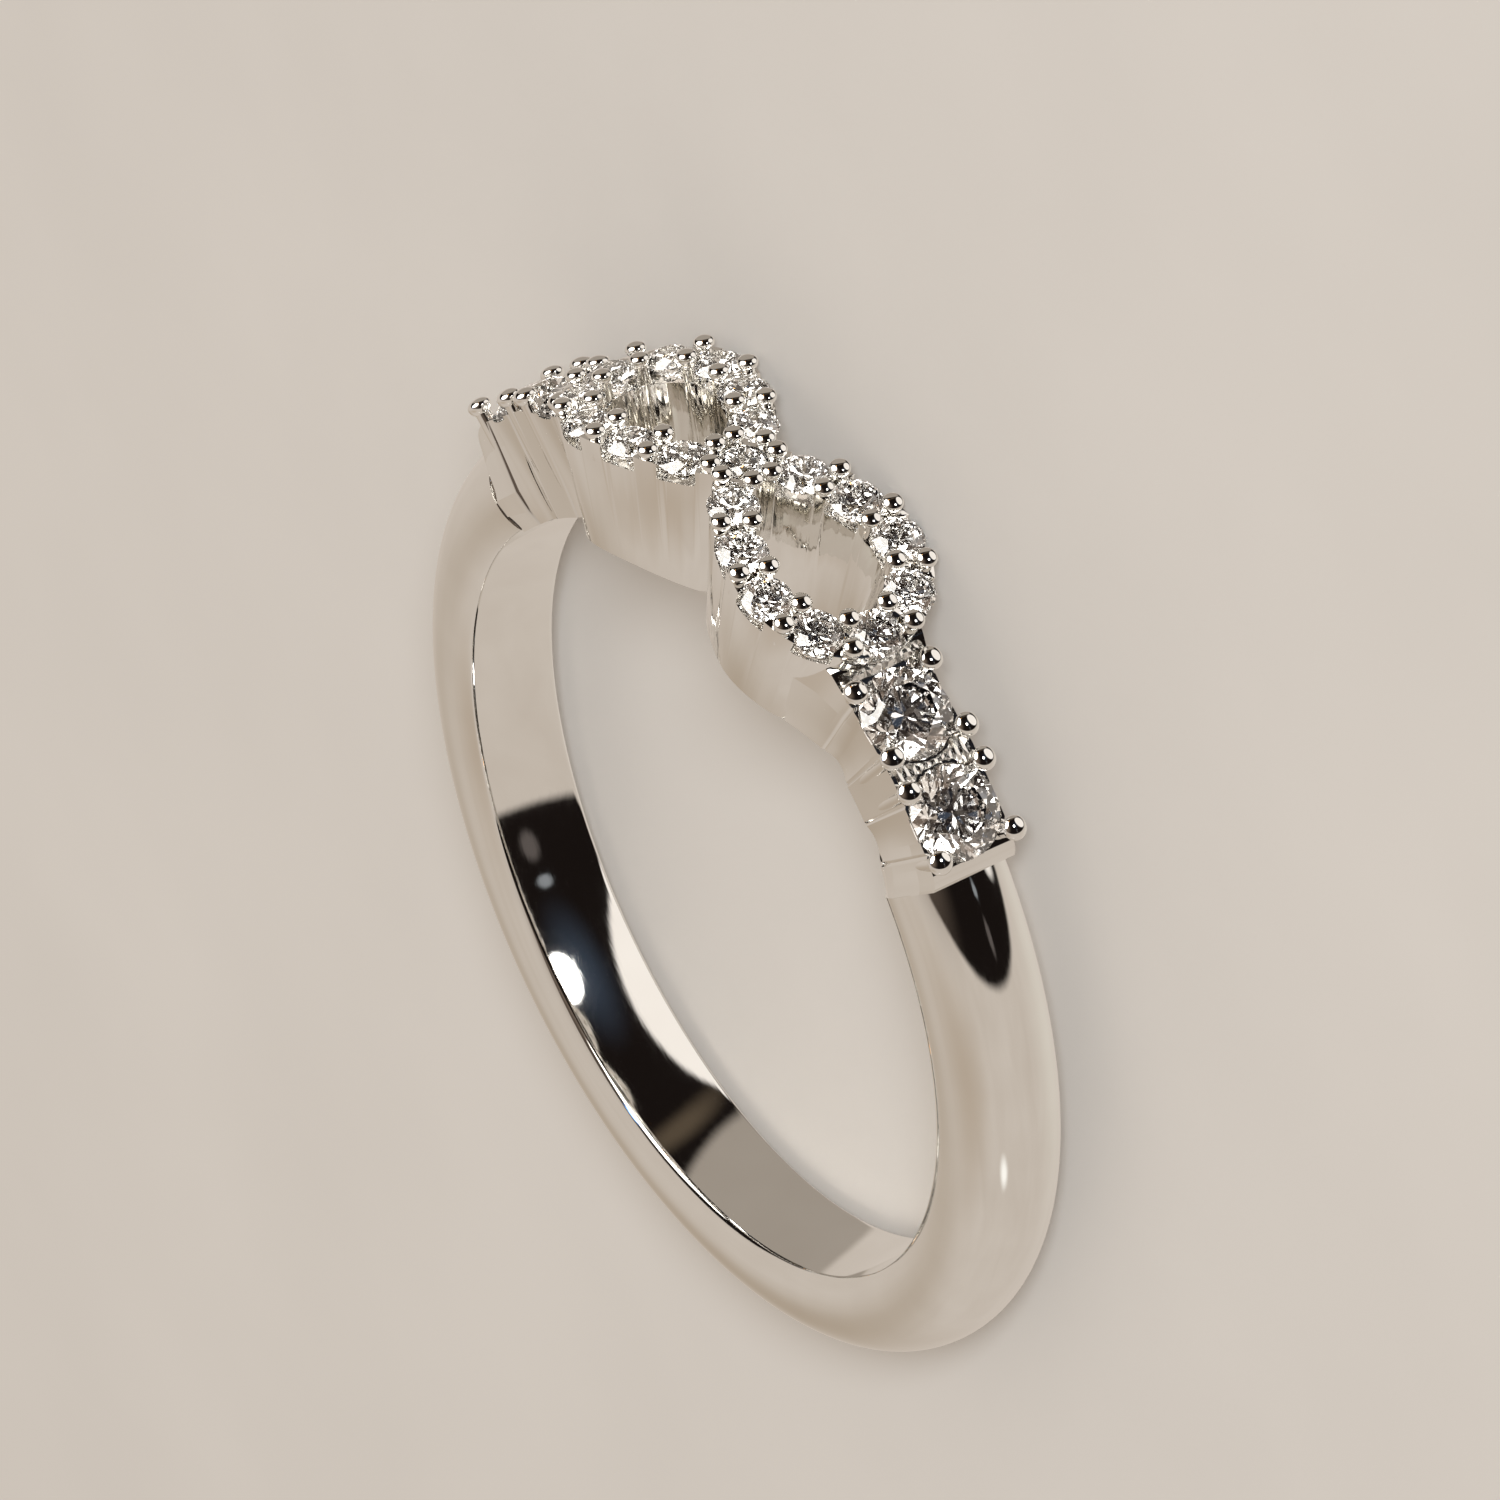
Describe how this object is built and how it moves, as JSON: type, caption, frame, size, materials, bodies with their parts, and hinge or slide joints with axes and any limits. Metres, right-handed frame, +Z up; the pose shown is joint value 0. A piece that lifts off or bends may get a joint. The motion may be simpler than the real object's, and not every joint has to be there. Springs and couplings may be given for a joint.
{
  "type": "infinity ring",
  "caption": "Polished white metal finger ring whose head is a pierced figure of eight, bead set with brilliants, between larger prong-set brilliants.",
  "frame": {"origin": "middle of the finger bore", "axes": "+Y to the middle of the head, +X to the ring's right along the floor, +Z up off the side that the ring lies on; the finger goes along Z, leaning by the 2.5 degrees that the ring tips until its widest stones touch the floor"},
  "size_m": [0.0212, 0.0227, 0.0043],
  "materials": {
    "white_metal": "mirror polished white gold with rhodium",
    "diamond": "cut and polished, colourless"
  },
  "bodies": {
    "root": {"ring": "white_metal", "small_stone_1": "diamond", "small_stone_2": "diamond", "small_stone_3": "diamond", "small_stone_4": "diamond", "small_stone_5": "diamond", "small_stone_6": "diamond", "small_stone_7": "diamond", "small_stone_8": "diamond", "small_stone_9": "diamond", "small_stone_10": "diamond", "small_stone_11": "diamond", "small_stone_12": "diamond", "small_stone_13": "diamond", "small_stone_14": "diamond", "small_stone_15": "diamond", "small_stone_16": "diamond", "small_stone_17": "diamond", "small_stone_18": "diamond", "small_stone_19": "diamond", "shoulder_stone_1": "diamond", "shoulder_stone_2": "diamond", "shoulder_stone_3": "diamond", "shoulder_stone_4": "diamond"}
  },
  "joints": []
}
